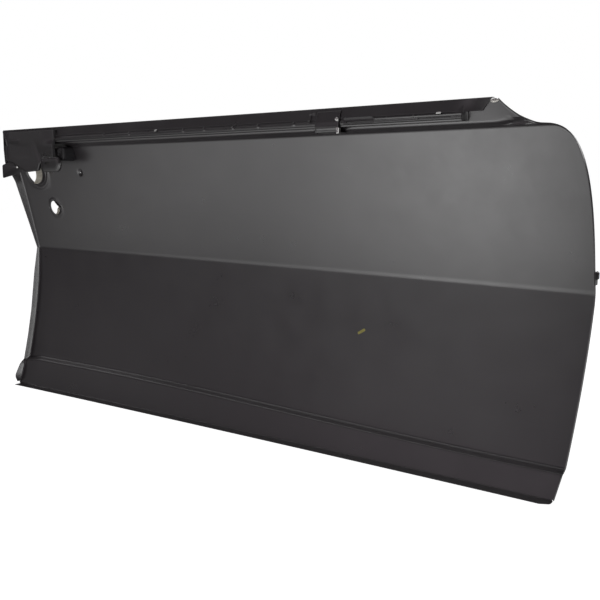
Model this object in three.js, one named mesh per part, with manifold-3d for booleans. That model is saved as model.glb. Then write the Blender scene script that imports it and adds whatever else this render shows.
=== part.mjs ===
// Outer panel (door skin) of the left-hand door of a two-door car, as a bare service pressing with the
// pieces that are welded, riveted or bolted to its inner side.
// Millimetres. +X points to the front of the car, +Y outboard (the painted face), +Z up. The origin lies
// under the middle of the panel, at the height of the flat bottom flange.
import * as THREE from "three";
import { mergeVertices } from "three/addons/utils/BufferGeometryUtils.js";
import Module from "manifold-3d";

const wasm = await Module();
wasm.setup();

// ---------------------------------------------------------------- driving dimensions
// Inside this file x is 0 at the rear (lock) edge, y is 0 at the bottom fold's inner line, z is 0 at the
// bottom flange. The exported group moves all of it to the origin described above.
const LENGTH = 1420; // rear edge to front edge, along the crease
const HEIGHT = 640; // bottom flange to the top of the belt line
const SHEET = 1.2; // pressed sheet
const GAP = 0.3; // between pieces that are welded or riveted together
const CROWN = 5; // how far the panel bows outboard at mid length
const CREASE = { y: 80.6, z: 346.5, fall: 16.8 }; // the character line, and its fall towards the front
const LEDGE = { low: [20.6, 61.5], high: [34, 69], fall: 23 }; // the sill step, and its fall to the front
const LEDGE_DROOP = { fall: 7, length: 64 }; // the step also drops over its last stretch at the rear
const SHOULDER_Z = 594; // where the panel turns in to the belt line
const BELT_TOP = 637; // top edge of the belt flange
const BELT_FOOT = [-2.5, 601.5]; // inner face of the belt flange, which leans inboard from its foot
const BELT_HEAD = [-8.2, BELT_TOP]; // to its head
const BOTTOM_FLANGE = 22;
const MID_Y = 28; // half-way across the whole part, used only to centre it

// Positions along the door.
const RAIL_START = 205; // rear end of the belt channel
const CHANNEL_END = 1232; // front end of the belt channel
const PLATE_END = 1271; // top front corner of the belt plate
const GUIDE_X = 966; // middle of the glass guide bracket

// ---------------------------------------------------------------- helpers
// A plane drawn in (y, z) that grows along +X, and one drawn in (x, z) that grows inboard, along -Y.
const ALONG_X = new THREE.Matrix4().makeBasis(
  new THREE.Vector3(0, 1, 0),
  new THREE.Vector3(0, 0, 1),
  new THREE.Vector3(1, 0, 0),
);
const INBOARD = new THREE.Matrix4().makeBasis(
  new THREE.Vector3(1, 0, 0),
  new THREE.Vector3(0, 0, 1),
  new THREE.Vector3(0, -1, 0),
);

function solidOf(geometry) {
  const bare = geometry.clone();
  bare.deleteAttribute("normal");
  bare.deleteAttribute("uv");
  const merged = mergeVertices(bare, 1e-3);
  return new wasm.Manifold(
    new wasm.Mesh({
      numProp: 3,
      vertProperties: new Float32Array(merged.attributes.position.array),
      triVerts: new Uint32Array(merged.index.array),
    }),
  );
}

function geometryOf(solid) {
  const mesh = solid.getMesh();
  const geometry = new THREE.BufferGeometry();
  geometry.setAttribute("position", new THREE.BufferAttribute(mesh.vertProperties, 3));
  geometry.setIndex(new THREE.BufferAttribute(mesh.triVerts, 1));
  return geometry;
}

const joined = (first, ...others) =>
  others.reduce((sum, solid) => sum.add(solid), first);

const cut = (first, ...tools) =>
  tools.reduce((rest, tool) => rest.subtract(tool), first);

// A shape drawn in (y, z), extruded from x = from to x = to in a number of steps.
function alongX(shape, from, to, steps = 1, curveSegments = 6) {
  const settings = { depth: to - from, steps, curveSegments, bevelEnabled: false };
  const geometry = new THREE.ExtrudeGeometry(shape, settings);
  geometry.applyMatrix4(ALONG_X);
  return geometry.translate(from, 0, 0);
}

// A shape drawn in (x, z), extruded from the outboard face y = from down to the inboard face y = to.
function inboard(shape, from, to, curveSegments = 12) {
  const settings = { depth: from - to, curveSegments, bevelEnabled: false };
  const geometry = new THREE.ExtrudeGeometry(shape, settings);
  geometry.applyMatrix4(INBOARD);
  return geometry.translate(0, from, 0);
}

function block(from, to) {
  const size = to.map((high, axis) => high - from[axis]);
  const middle = to.map((high, axis) => (high + from[axis]) / 2);
  return new THREE.BoxGeometry(...size).translate(...middle);
}

function roundedPlate(x0, z0, x1, z1, radius) {
  const shape = new THREE.Shape();
  shape.moveTo(x0 + radius, z0);
  shape.lineTo(x1 - radius, z0);
  shape.absarc(x1 - radius, z0 + radius, radius, -Math.PI / 2, 0);
  shape.lineTo(x1, z1 - radius);
  shape.absarc(x1 - radius, z1 - radius, radius, 0, Math.PI / 2);
  shape.lineTo(x0 + radius, z1);
  shape.absarc(x0 + radius, z1 - radius, radius, Math.PI / 2, Math.PI);
  shape.lineTo(x0, z0 + radius);
  shape.absarc(x0 + radius, z0 + radius, radius, Math.PI, 1.5 * Math.PI);
  return shape;
}

// An open line of sheet metal through corners [y, z, bend radius], thickened to its left by the sheet.
function bentSheet(corners, thickness = SHEET) {
  const at = corners.map(([y, z]) => new THREE.Vector2(y, z));
  const line = new THREE.Path().moveTo(at[0].x, at[0].y);
  for (let i = 1; i < at.length - 1; i += 1) {
    const radius = corners[i][2] ?? 0;
    const back = at[i - 1].clone().sub(at[i]).setLength(radius).add(at[i]);
    const ahead = at[i + 1].clone().sub(at[i]).setLength(radius).add(at[i]);
    line.lineTo(back.x, back.y);
    if (radius > 0) line.quadraticCurveTo(at[i].x, at[i].y, ahead.x, ahead.y);
  }
  line.lineTo(at.at(-1).x, at.at(-1).y);
  return thickened(line.getPoints(3), thickness);
}

// A closed shape between a line of points and its mitred copy, a sheet's thickness to its left.
function thickened(points, thickness) {
  const distinct = points.filter((p, i) => i === 0 || p.distanceTo(points[i - 1]) > 1e-3);
  const leftOf = (a, b) => new THREE.Vector2(a.y - b.y, b.x - a.x).normalize();
  const copy = distinct.map((p, i) => {
    const before = leftOf(distinct[Math.max(i - 1, 0)], distinct[Math.max(i, 1)]);
    const last = distinct.length - 1;
    const after = leftOf(distinct[Math.min(i, last - 1)], distinct[Math.min(i + 1, last)]);
    const mitre = before.clone().add(after).normalize();
    return p.clone().addScaledVector(mitre, thickness / mitre.dot(after));
  });
  return new THREE.Shape([...distinct, ...copy.reverse()]);
}

// ---------------------------------------------------------------- the panel's form
const crownAt = (x) => CROWN * (1 - (2 * x / LENGTH - 1) ** 2);

function hat(z, low, top, high) {
  if (z <= low || z >= high) return 0;
  return z < top ? (z - low) / (top - low) : (high - z) / (high - top);
}

// Bows a straight extrusion outboard, and lets the crease and the sill step fall towards the front.
function formed(geometry) {
  const position = geometry.attributes.position;
  const ledgeMid = (LEDGE.low[1] + LEDGE.high[1]) / 2;
  for (let i = 0; i < position.count; i += 1) {
    const x = position.getX(i);
    const z = position.getZ(i);
    const creaseFall = CREASE.fall * (Math.max(x, 0) / LENGTH) ** 1.5;
    const droop = LEDGE_DROOP.fall * (1 - THREE.MathUtils.smoothstep(x, 0, LEDGE_DROOP.length));
    const ledgeFall = LEDGE.fall * THREE.MathUtils.smoothstep(x, 230, 1370) + droop;
    const creaseShare = hat(z, ledgeMid, CREASE.z, SHOULDER_Z);
    const ledgeShare = hat(z, 0, ledgeMid, CREASE.z);
    position.setY(i, position.getY(i) + crownAt(x));
    position.setZ(i, z - creaseFall * creaseShare - ledgeFall * ledgeShare);
  }
  return geometry;
}

// The inner face of the panel in section, from the bottom fold to the shoulder.
function sectionLine() {
  const line = new THREE.Path().moveTo(0, 0);
  line.lineTo(...LEDGE.low);
  line.lineTo(...LEDGE.high);
  line.quadraticCurveTo(72.4, 211, CREASE.y, CREASE.z);
  line.quadraticCurveTo(50.5, 470, 13, SHOULDER_Z);
  return line.getPoints(5);
}

const sectionPoints = sectionLine();

// Where the panel's inner face lies at height z, before it is formed.
function panelY(z) {
  const above = sectionPoints.findIndex((p) => p.y >= z);
  const high = sectionPoints[above];
  const low = sectionPoints[above - 1];
  return THREE.MathUtils.mapLinear(z, low.y, high.y, low.x, high.x);
}

// The edge of the panel seen from the side, moved in by inset at its rear and front.
function sideOutline(inset = 0) {
  const front = LENGTH + 1 - inset;
  const shape = new THREE.Shape();
  shape.moveTo(inset, -20);
  shape.lineTo(front - 29.5, -20);
  shape.quadraticCurveTo(front - 8, 180, front, 330);
  shape.lineTo(front, 410);
  shape.bezierCurveTo(front, 561, front - 22, 598 - inset, front - 76, 597.5 - inset);
  shape.quadraticCurveTo(front - 103, 601 - inset, front - 144, 636 - inset);
  shape.lineTo(front - 144, 660);
  shape.lineTo(inset, 660);
  return shape;
}

// The inboard rim of the turned edges, [y, z]: a narrow turn at the crease, wide at the rear top corner.
const TURNED_RIM = [
  [-9, 0],
  [-9, 24],
  [6, 54],
  [19, 66],
  [35, 128],
  [62, 283],
  [74.5, 345],
  [54, 408],
  [18, 515],
  [-8.5, 560],
  [-10, SHOULDER_Z],
  [-9, BELT_TOP],
];
const STATIONS = [...[-4, 20, 45, 70], ...Array.from({ length: 12 }, (_, i) => 125 + 118 * i), LENGTH + 4];

// A section extruded along the whole door through the stations, where the form is bent to follow.
function alongDoor(section) {
  const geometry = alongX(section, 0, STATIONS.length - 1, STATIONS.length - 1);
  const position = geometry.attributes.position;
  for (let i = 0; i < position.count; i += 1) position.setX(i, STATIONS[Math.round(position.getX(i))]);
  return solidOf(formed(geometry));
}

function doorSkin() {
  const wall = [new THREE.Vector2(-BOTTOM_FLANGE, 0), ...sectionPoints];
  const belt = [[-0.5, 599.5], BELT_FOOT, BELT_HEAD].map(([y, z]) => new THREE.Vector2(y, z));
  // Drawn upwards, the outboard side is on the right of the line, so the sheet is thickened by -SHEET.
  const sheet = alongDoor(thickened([...wall, ...belt], -SHEET));

  const wallSide = [...sectionPoints, ...belt].map((p) => [p.x + 0.5, p.y]).reverse();
  const band = [...TURNED_RIM, ...wallSide].map(([y, z]) => new THREE.Vector2(y, z));
  const edgeBand = alongDoor(new THREE.Shape(band));
  const outline = solidOf(inboard(sideOutline(), 140, -60, 16));
  const inner = solidOf(inboard(sideOutline(SHEET), 150, -70, 16));
  const aboveShoulder = solidOf(block([100, -80, SHOULDER_Z], [LENGTH + 10, 160, 700]));
  const turnedEdge = cut(edgeBand.intersect(outline), inner, aboveShoulder);

  const holes = [handleHole(), lockHole(), studHole()].map((shape) => solidOf(inboard(shape, 90, 0, 16)));
  return cut(joined(sheet.intersect(outline), turnedEdge), ...holes, ...flangeCorners());
}

// The bottom flange is cut back at both ends, so that it clears the corners of the door frame. The cuts
// start this far from the panel's rear and front edges.
const FLANGE_CUT = { rear: 26, front: 46 };

function flangeCorners() {
  const beyond = -BOTTOM_FLANGE - 0.5;
  const cutEnd = LENGTH - FLANGE_CUT.front;
  const rear = [[-1, -9], [-1, -40], [FLANGE_CUT.rear, -40], [FLANGE_CUT.rear, beyond]];
  const front = [[cutEnd, beyond], [cutEnd, -40], [LENGTH + 5, -40], [LENGTH + 5, 4]];
  return [rear, front].map((corners) => {
    const plan = new THREE.Shape(corners.map(([x, y]) => new THREE.Vector2(x, y)));
    const geometry = new THREE.ExtrudeGeometry(plan, { depth: 8, bevelEnabled: false });
    return solidOf(geometry.translate(0, 0, -4));
  });
}

const HANDLE_HOLE = { x: 71, z: 541, radius: 33 };
const LOCK_HOLE = { x: 109.5, z: 450, radius: 18, flat: 14 };
const STUD_HOLE = { x: 231, z: 535, radius: 3 };

function handleHole() {
  return new THREE.Shape().absarc(HANDLE_HOLE.x, HANDLE_HOLE.z, HANDLE_HOLE.radius, 0, 2 * Math.PI);
}

function studHole() {
  return new THREE.Shape().absarc(STUD_HOLE.x, STUD_HOLE.z, STUD_HOLE.radius, 0, 2 * Math.PI);
}

// A round hole with one flat, up and to the front, that stops the lock cylinder from turning.
function lockHole() {
  const { x, z, radius, flat } = LOCK_HOLE;
  const half = Math.acos(flat / radius);
  const from = Math.PI / 4 + half;
  return new THREE.Shape().absarc(x, z, radius, from, from + 2 * (Math.PI - half));
}

// ---------------------------------------------------------------- belt line
// Both sheets lean back from the belt channel's lip up to the belt line.
const PLATE_LINE = [[-3, HEIGHT], [-10, HEIGHT, 1], [-19, 619]];
const PLATE_CORNER = { setback: 18, low: 617, high: 639.5 }; // its front end is cut off on a diagonal

function beltPlate() {
  const sheet = solidOf(formed(alongX(bentSheet(PLATE_LINE), 0, PLATE_END, 8)));
  const corner = new THREE.Shape([
    new THREE.Vector2(PLATE_END - PLATE_CORNER.setback, PLATE_CORNER.low),
    new THREE.Vector2(PLATE_END + 5, PLATE_CORNER.low),
    new THREE.Vector2(PLATE_END + 5, PLATE_CORNER.high),
    new THREE.Vector2(PLATE_END, PLATE_CORNER.high),
  ]);
  return cut(sheet, solidOf(inboard(corner, 20, -40)));
}

const CHANNEL_LINE = [[-11.6, 632.4], [-19.2, 614.6, 1.5], [-21, 611, 1], [-21, 605.4, 2.2], [-4.2, 604.6]];

function beltChannel() {
  return solidOf(formed(alongX(bentSheet(CHANNEL_LINE), RAIL_START, CHANNEL_END, 8)));
}

// A strip welded over the front of the channel, which steps down once and has two slots for seal clips.
const STRIP_LINE = [[-19.6, 617.8], [-20.9, 614.8, 1], [-22.5, 611.2, 1], [-22.5, 608.6]];
const STRIP_START = GUIDE_X + 34;
const STRIP_STEP = { x: 1060, z: 615.6 };
const STRIP_SLOTS = [
  [1006, 609.8, 1057, 613.4],
  [1146, 610, CHANNEL_END - 26, 612.8],
];

function beltGuideStrip() {
  const sheet = solidOf(formed(alongX(bentSheet(STRIP_LINE), STRIP_START, CHANNEL_END - 1, 4)));
  const above = solidOf(block([STRIP_STEP.x, -60, STRIP_STEP.z], [CHANNEL_END + 5, 20, 640]));
  const slots = STRIP_SLOTS.map((corners) => solidOf(inboard(roundedPlate(...corners, 1.4), -10, -30, 3)));
  return cut(sheet, above, ...slots);
}

// ---------------------------------------------------------------- rear corner
// The plate behind the door handle: its inboard face, its ends, and where its foot stands.
const REINFORCEMENT = { y: -28, rear: 26, front: 208, top: 632, footY: -7.5 };

function handleReinforcement() {
  const { y, rear, front, top, footY } = REINFORCEMENT;
  const web = new THREE.Shape([
    new THREE.Vector2(rear, top),
    new THREE.Vector2(front, top),
    new THREE.Vector2(front, 574),
    new THREE.Vector2(158, 574),
    new THREE.Vector2(158, 540),
    new THREE.Vector2(104, 536),
    new THREE.Vector2(52, 560),
    new THREE.Vector2(rear, 560),
  ]);
  const plate = solidOf(inboard(web, y + SHEET, y));
  const topTurn = solidOf(block([rear, y, top - SHEET], [front, y + 12.4, top]));
  const frontTurn = solidOf(block([front - SHEET, y, 606.5], [front, y + 6, top]));
  const rearWall = solidOf(block([rear, y, 560], [rear + SHEET, footY, 604]));
  const foot = solidOf(block([SHEET + GAP, footY - SHEET, 566], [rear + SHEET, footY, 600]));
  return joined(plate, topTurn, frontTurn, rearWall, foot);
}

// The guide for the lock rod: a shallow cup with a round front end and one slot.
const CUP = { rear: 162, front: 230, low: 535.5, high: 569.5, depth: 11 };
const CUP_SLOT = [178, 553, 198, 558.5, 2.5];

function rodGuideCup() {
  const radius = (CUP.high - CUP.low) / 2;
  const outline = (inset) => {
    const shape = new THREE.Shape();
    shape.moveTo(CUP.rear + inset, CUP.low + inset);
    shape.lineTo(CUP.front - radius, CUP.low + inset);
    shape.absarc(CUP.front - radius, CUP.low + radius, radius - inset, -Math.PI / 2, Math.PI / 2);
    shape.lineTo(CUP.rear + inset, CUP.high - inset);
    return shape;
  };
  const face = REINFORCEMENT.y;
  const body = solidOf(inboard(outline(0), face + CUP.depth, face, 10));
  const hollow = solidOf(inboard(outline(SHEET), face + CUP.depth + 1, face + SHEET, 10));
  const slot = solidOf(inboard(roundedPlate(...CUP_SLOT), 0, face - 5, 4));
  return cut(body, hollow, slot);
}

// A flat arm riveted across the rear edge below the handle. It narrows to the front, where a toe turns
// outboard. Its lower and upper edges are given at its rear end and at its front end.
const ARM = { rear: -2, front: 96, y: -14, corner: 4, shoulder: 26 };
const ARM_LOW = [522.5, 541];
const ARM_HIGH = [555, 560];
const ARM_TOE = { rear: 62, z: 544, y: 6 };
const ARM_RIVET = { x: 58, z: 549.5, hole: 2.6 };

function latchSideArm() {
  const outline = new THREE.Shape([
    new THREE.Vector2(ARM.rear, ARM_LOW[0] + ARM.corner),
    new THREE.Vector2(ARM.rear + ARM.corner, ARM_LOW[0]),
    new THREE.Vector2(ARM.front, ARM_LOW[1]),
    new THREE.Vector2(ARM.front, ARM_HIGH[1]),
    new THREE.Vector2(ARM.rear + ARM.shoulder, ARM_HIGH[1]),
    new THREE.Vector2(ARM.rear, ARM_HIGH[0]),
  ]);
  const plate = solidOf(inboard(outline, ARM.y, ARM.y - SHEET));
  const toeLow = [ARM_TOE.rear, ARM.y - SHEET, ARM_TOE.z];
  const toe = solidOf(block(toeLow, [ARM.front, ARM_TOE.y, ARM_TOE.z + SHEET]));
  const hole = new THREE.Shape().absarc(ARM_RIVET.x, ARM_RIVET.z, ARM_RIVET.hole, 0, 2 * Math.PI);
  return cut(joined(plate, toe), solidOf(inboard(hole, 0, -30, 4)));
}

// A round-headed fastener: a shank with a domed head on its inboard end. The dome starts at face.
function rivet(x, z, face, { head, dome, shank, length }) {
  const profile = new THREE.Path().moveTo(0, -length);
  profile.lineTo(shank, -length);
  profile.lineTo(shank, 0);
  profile.lineTo(head, 0);
  profile.quadraticCurveTo(head, dome, 0, dome);
  const geometry = new THREE.LatheGeometry(profile.getPoints(3), 12);
  return geometry.rotateX(Math.PI).translate(x, face, z);
}

// A moulded block between the panel and the window, with round corners.
const BUFFER = { rear: 207, front: 231, low: 561, high: 592, y: -12, corner: 8 };

function windowStopBuffer() {
  const shape = roundedPlate(BUFFER.rear, BUFFER.low, BUFFER.front, BUFFER.high, BUFFER.corner);
  const side = panelFacing(BUFFER.low - 4, SHOULDER_Z, BUFFER.y);
  const filled = solidOf(formed(alongX(side, BUFFER.rear - 2, BUFFER.front + 2)));
  return solidOf(inboard(shape, 30, -20, 4)).intersect(filled);
}

// A block in section that follows the panel's inner face at a small gap and ends inboard at y.
function panelFacing(z0, z1, y) {
  const clearance = GAP + 0.5;
  const low = new THREE.Vector2(panelY(z0) - clearance, z0);
  const high = new THREE.Vector2(panelY(SHOULDER_Z) - clearance, z1);
  return new THREE.Shape([new THREE.Vector2(y, z0), low, high, new THREE.Vector2(y, z1)]);
}

// ---------------------------------------------------------------- middle and front of the belt line
const GUIDE = { half: 26, y: -26, low: 594.5, high: 634 };
const GUIDE_BOLT = { x: GUIDE_X + 20.5, z: 618, hole: 2.5, flange: 4.6, head: 3.6, shank: 2 };

function glassGuideBracket() {
  const rear = GUIDE_X - GUIDE.half;
  const shell = [[-13.6, GUIDE.high], [GUIDE.y, GUIDE.high, 2], [GUIDE.y, GUIDE.low, 2], [6.5, GUIDE.low]];
  const sheet = solidOf(alongX(bentSheet(shell), rear, GUIDE_X + GUIDE.half));
  const lip = solidOf(block([rear - 5, GUIDE.y + 0.5, 626], [rear + 1, GUIDE.y + 0.5 + SHEET, 632]));
  const hole = new THREE.Shape().absarc(GUIDE_BOLT.x, GUIDE_BOLT.z, GUIDE_BOLT.hole, 0, 2 * Math.PI);
  const boltHole = solidOf(inboard(hole, GUIDE.y + 10, GUIDE.y - 10, 4));
  return cut(joined(sheet, lip), boltHole);
}

// A hexagon-head bolt with a flange under its head.
function glassGuideBolt() {
  const { x, z } = GUIDE_BOLT;
  const hexagon = new THREE.Shape().setFromPoints(
    Array.from({ length: 6 }, (_, corner) => {
      const angle = (corner * Math.PI) / 3;
      return new THREE.Vector2(x + GUIDE_BOLT.head * Math.cos(angle), z + GUIDE_BOLT.head * Math.sin(angle));
    }),
  );
  const round = (radius) => new THREE.Shape().absarc(x, z, radius, 0, 2 * Math.PI);
  const seat = GUIDE.y - GAP;
  const flange = solidOf(inboard(round(GUIDE_BOLT.flange), seat, seat - 1.2, 8));
  const head = solidOf(inboard(hexagon, seat - 1, seat - 5));
  const shank = solidOf(inboard(round(GUIDE_BOLT.shank), seat + 4.5, seat - 1, 8));
  return joined(flange, head, shank);
}

// A spring clip hooked over the front edge of the guide bracket: one leg on its face, one down its side.
const GUIDE_CLIP = { low: 593, high: 603.5, reach: 7, width: 5.5, sheet: 1 };

function glassGuideClip() {
  const { low, high, reach, width, sheet } = GUIDE_CLIP;
  const x = GUIDE_X + GUIDE.half + GAP;
  const face = GUIDE.y - GAP;
  const onFace = solidOf(block([x + sheet - width, face - sheet, low], [x + sheet, face, high]));
  const onSide = solidOf(block([x, face - sheet, low], [x + sheet, face + reach, high]));
  return joined(onFace, onSide);
}

// A small spring clip that snaps on the belt plate for the inner window seal.
function beltClip(x, width, low, high, lean) {
  const line = PLATE_LINE[2];
  const slope = (PLATE_LINE[1][0] - line[0]) / (HEIGHT - line[1]);
  const faceY = (z) => line[0] + slope * (z - line[1]) - GAP;
  const shape = new THREE.Shape([
    new THREE.Vector2(faceY(low) - 0.1, low),
    new THREE.Vector2(faceY(high) - 0.1, high),
    new THREE.Vector2(faceY(high) - 1.2, high),
    new THREE.Vector2(faceY(low) - lean, low + 1.5),
    new THREE.Vector2(faceY(low) - lean, low),
  ]);
  return solidOf(formed(alongX(shape, x - width / 2, x + width / 2)));
}

// ---------------------------------------------------------------- front edge
function frontLocatingTab() {
  const x = LENGTH + 1 + GAP;
  const plate = solidOf(block([x, 56, 344], [x + 1.5, 76, 366]));
  const nose = solidOf(block([x, 66, 352], [x + 4, 76, 366]));
  return joined(plate, nose);
}

// A short lump of brazing that ties the belt plate to the panel's front peak.
function cornerWeldBead() {
  const bead = new THREE.IcosahedronGeometry(1, 1).scale(7.5, 1.8, 3.4).rotateY(0.3);
  return solidOf(bead.translate(PLATE_END + 5, BELT_HEAD[0] - 1.6, 631));
}

// ---------------------------------------------------------------- materials and assembly
const eCoat = { color: 0x26262a, roughness: 0.42, metalness: 0.1 };
const LOOKS = {
  panel: eCoat,
  bracket: { color: 0x1b1b1e, roughness: 0.5, metalness: 0.1 },
  zinc: { color: 0xd8d8d2, roughness: 0.3, metalness: 1 },
  rubber: { color: 0x121214, roughness: 0.75, metalness: 0 },
  braze: { color: 0xc9c6bd, roughness: 0.45, metalness: 1 },
};

const door = new THREE.Group();
door.position.set(-LENGTH / 2, -MID_Y, SHEET);

function addPiece(name, solid, look, bowAt = null) {
  const material = new THREE.MeshStandardMaterial(LOOKS[look]);
  const mesh = new THREE.Mesh(geometryOf(solid), material);
  mesh.name = name;
  if (bowAt !== null) mesh.position.y = crownAt(bowAt);
  door.add(mesh);
}

const SMALL_RIVET = { head: 4.2, dome: 2.2, shank: 2, length: 1 };

addPiece("door_skin", doorSkin(), "panel");
addPiece("belt_plate", beltPlate(), "bracket");
addPiece("belt_channel", beltChannel(), "bracket");
addPiece("belt_guide_strip", beltGuideStrip(), "bracket");
addPiece("handle_reinforcement", handleReinforcement(), "bracket");
addPiece("rod_guide_cup", rodGuideCup(), "bracket");
addPiece("latch_side_arm", latchSideArm(), "bracket");
addPiece("arm_rivet", solidOf(rivet(ARM_RIVET.x, ARM_RIVET.z, ARM.y - SHEET - GAP, SMALL_RIVET)), "zinc");
addPiece("window_stop_buffer", windowStopBuffer(), "rubber");
addPiece("glass_guide_bracket", glassGuideBracket(), "bracket", GUIDE_X);
addPiece("glass_guide_bolt", glassGuideBolt(), "zinc", GUIDE_X);
addPiece("glass_guide_clip", glassGuideClip(), "zinc", GUIDE_X);
addPiece("belt_clip_rear", beltClip(536, 7, 617, 623, 2), "zinc");
addPiece("belt_clip_middle", beltClip(926, 5, 616.5, 630, 2), "bracket");
addPiece("belt_clip_front", beltClip(1183, 12, 617, 621.5, 2), "zinc");
addPiece("front_locating_tab", frontLocatingTab(), "bracket");
addPiece("corner_weld_bead", cornerWeldBead(), "braze");

export default door;
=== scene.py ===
from math import atan2, ceil, comb, cos, dist, exp, hypot, pi, radians, sin

import bmesh
import bpy
import numpy as np
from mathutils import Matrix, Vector

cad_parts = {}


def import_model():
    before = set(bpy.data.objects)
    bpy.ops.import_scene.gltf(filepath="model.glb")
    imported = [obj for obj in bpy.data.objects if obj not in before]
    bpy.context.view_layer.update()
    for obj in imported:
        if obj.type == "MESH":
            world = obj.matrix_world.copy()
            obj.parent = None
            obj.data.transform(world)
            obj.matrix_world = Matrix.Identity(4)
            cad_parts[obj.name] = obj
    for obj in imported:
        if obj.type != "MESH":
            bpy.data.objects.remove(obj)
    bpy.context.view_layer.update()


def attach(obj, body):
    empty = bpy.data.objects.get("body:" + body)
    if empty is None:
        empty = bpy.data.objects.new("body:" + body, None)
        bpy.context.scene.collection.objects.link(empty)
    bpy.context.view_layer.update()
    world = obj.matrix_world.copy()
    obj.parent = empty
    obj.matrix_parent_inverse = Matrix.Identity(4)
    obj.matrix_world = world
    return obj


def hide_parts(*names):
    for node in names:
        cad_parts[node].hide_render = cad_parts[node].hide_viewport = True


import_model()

# ---- driving dimensions
# Door coordinates, in millimetres, as in the CAD: x from the rear (lock) edge to the front, y outboard from
# the bottom fold, z up from the bottom flange. ORIGIN is where their zero lies in the row frame, in metres.
ORIGIN = np.array([-0.710, -0.028, 0.0012])
MM = 0.001
LENGTH = 1420
SHEET = 1.0
CROWN = 5
CREASE = {"y": 80.6, "z": 346.5, "fall": 16.8}
LEDGE = {"low": (20.6, 61.5), "high": (34, 69), "fall": 23, "falls": (230, 1370), "drop": 7, "drop_end": 64}
LEDGE_MID = (LEDGE["low"][1] + LEDGE["high"][1]) / 2
SHOULDER_Z = 594
BELT_TOP = 637
BELT_FOOT = (-2.5, 601.5)
BELT_HEAD = (-8.2, BELT_TOP)
FOLD_RISE = {"height": 7, "from": LENGTH - 150, "to": LENGTH - 95}
CHANNEL_START = 205
CHANNEL_END = 1232
PLATE_END = 1271
GUIDE_X = 966

CAMERA_AT = (1.057, -1.263, 0.497)
CAMERA_AZIMUTH = 35.25
CAMERA_PITCH = 7.9
LENS = 48.0


# ---- mesh helpers
SOFT_SHARP = 50      # a pressed cup's edges stay soft up to this many degrees


def stepped(*stops):
    """Even steps between stops, each given as (value, longest step towards the next one)."""
    values = []
    for (start, step), (end, _) in zip(stops, stops[1:]):
        count = ceil((end - start) / step - 1e-6)
        values += list(np.linspace(start, end, count, endpoint=False))
    return np.array(values + [stops[-1][0]])


def bezier(points, count):
    """Points on the curve with these three or four control points."""
    points = np.array(points, float)
    t = np.linspace(0, 1, count)[:, None]
    degree = len(points) - 1
    terms = [comb(degree, k) * (1 - t) ** (degree - k) * t ** k * p for k, p in enumerate(points)]
    return sum(terms)


def smooth(low, high, x):
    """0 up to low, 1 from high on, and an even rise between them."""
    t = np.clip((np.asarray(x, float) - low) / (high - low), 0, 1)
    return t * t * (3 - 2 * t)


def hat(z, low, top, high):
    """1 at top, falling to 0 at low and at high."""
    return np.interp(z, [low, top, high], [0, 1, 0])


def height_at(x, line):
    """The height at x of a line given as points of (x, height)."""
    return np.interp(x, *zip(*line))


def quarter_bend(radius, steps):
    """A bend of a quarter circle, as (distance left to the edge, way turned), without its first point."""
    angles = np.linspace(0, pi / 2, steps + 1)[1:]
    return [(radius * (1 - sin(a)), radius * (1 - cos(a))) for a in angles]


def placed(name, data):
    """A new object with this data, in the scene."""
    made = bpy.data.objects.new(name, data)
    bpy.context.collection.objects.link(made)
    return made


def new_object(name, points, faces, sharp=35):
    """A mesh object from points in door coordinates; edges bent by more than sharp degrees stay crisp."""
    mesh = bpy.data.meshes.new(name)
    mesh.from_pydata((np.array(points, float) * MM + ORIGIN).tolist(), [], faces)
    mesh.validate()
    piece = placed(name, mesh)
    shade(piece, sharp)
    return piece


def shade(piece, sharp):
    mesh = piece.data
    mesh.polygons.foreach_set("use_smooth", [True] * len(mesh.polygons))
    mesh.set_sharp_from_angle(angle=radians(sharp))


def thicken(piece, millimetres, sharp=35):
    """Turns a surface into a sheet, thickened on the side that its faces turn away from."""
    sheet = bmesh.new()
    sheet.from_mesh(piece.data)
    sheet.normal_update()
    front = list(sheet.faces)
    rim = [edge for edge in sheet.edges if edge.is_boundary]
    back = {}
    for v in list(sheet.verts):
        reach = min(v.calc_shell_factor(), 1.5) * millimetres * MM
        back[v] = sheet.verts.new(v.co - v.normal * reach)
    walls = []
    for edge in rim:
        loop = edge.link_loops[0]
        walls.append((loop.link_loop_next.vert, loop.vert))
    for face in front:
        sheet.faces.new([back[v] for v in reversed(face.verts)])
    for a, b in walls:
        sheet.faces.new((a, b, back[b], back[a]))
    sheet.to_mesh(piece.data)
    sheet.free()
    shade(piece, sharp)
    return piece


def apply_modifiers(piece, sharp=35):
    bpy.context.view_layer.update()
    made = bpy.data.meshes.new_from_object(piece.evaluated_get(bpy.context.evaluated_depsgraph_get()))
    piece.modifiers.clear()
    piece.data = made
    shade(piece, sharp)
    return piece


def soften(piece, millimetres, segments=2):
    """Rounds every edge bent by more than 35 degrees."""
    bevel = piece.modifiers.new("soften", "BEVEL")
    bevel.width = millimetres * MM
    bevel.segments = segments
    bevel.limit_method = "ANGLE"
    bevel.angle_limit = radians(35)
    return apply_modifiers(piece)


def pierce(piece, *outlines, sharp=35):
    """Cuts holes with these outlines, each a loop of (x, z), straight through in y."""
    for outline in outlines:
        tool = prism("tool", outline, -60, 60)
        hole = piece.modifiers.new("hole", "BOOLEAN")
        hole.operation = "DIFFERENCE"
        hole.solver = "EXACT"
        hole.object = tool
        apply_modifiers(piece, sharp)
        bpy.data.objects.remove(tool)
    return piece


def prism(name, outline, y0, y1):
    """A closed block with this outline in (x, z), from the inboard face y0 to the outboard face y1."""
    count = len(outline)
    points = [(x, y0, z) for x, z in outline] + [(x, y1, z) for x, z in outline]
    faces = [tuple(range(count)), tuple(range(2 * count - 1, count - 1, -1))]
    faces += [(k, k + count, (k + 1) % count + count, (k + 1) % count) for k in range(count)]
    return new_object(name, points, faces)


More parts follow.
